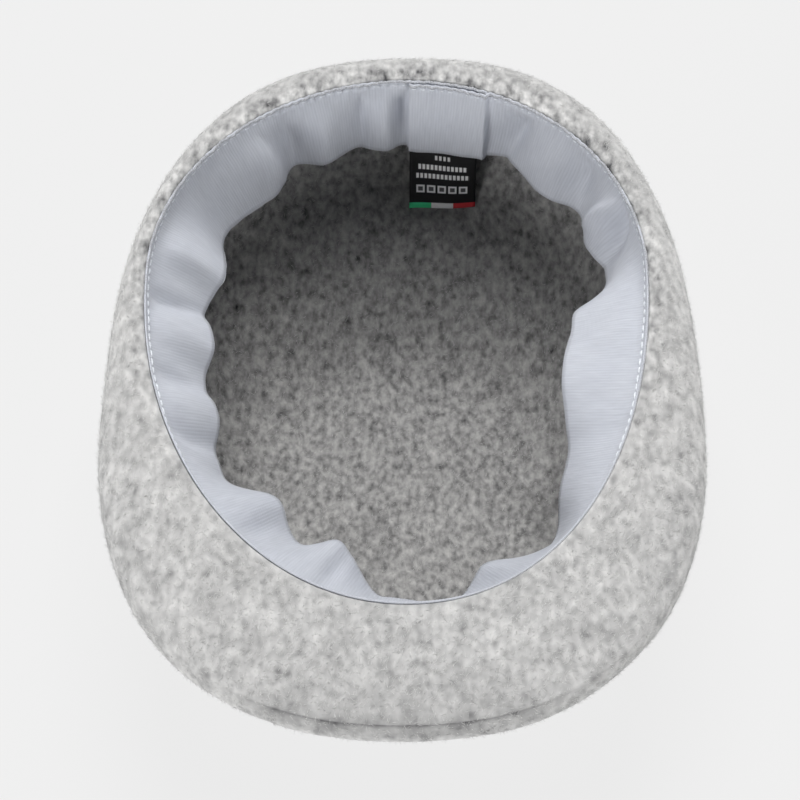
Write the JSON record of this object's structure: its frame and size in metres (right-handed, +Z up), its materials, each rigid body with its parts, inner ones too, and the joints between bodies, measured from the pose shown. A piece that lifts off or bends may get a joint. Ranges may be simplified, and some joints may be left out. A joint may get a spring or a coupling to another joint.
{
  "type": "flat cap",
  "caption": "Soft moulded felt cap with a short peak, lying on its crown, with a ruffled ribbon sweatband in its open hollow.",
  "frame": {"origin": "on the floor under the middle of the cap's box, as it lies on its crown", "axes": "+Z up, out of the opening; -Y towards the peak; +X to the wearer's left"},
  "size_m": [0.199, 0.266, 0.1046],
  "materials": {
    "felt": "light grey melange wool felt, mottled with short pale and dark fibres, matt with a slight nap",
    "ribbon": "pale blue-grey grosgrain ribbon, fine ribs across its width, dull sheen, white stitches along its sewn edge",
    "label_cloth": "black damask-woven tape with pale woven dashes and a narrow three-colour stripe, no words"
  },
  "bodies": {
    "root": {"felt_body": "felt", "sweatband": "ribbon", "woven_label": "label_cloth"}
  },
  "joints": []
}
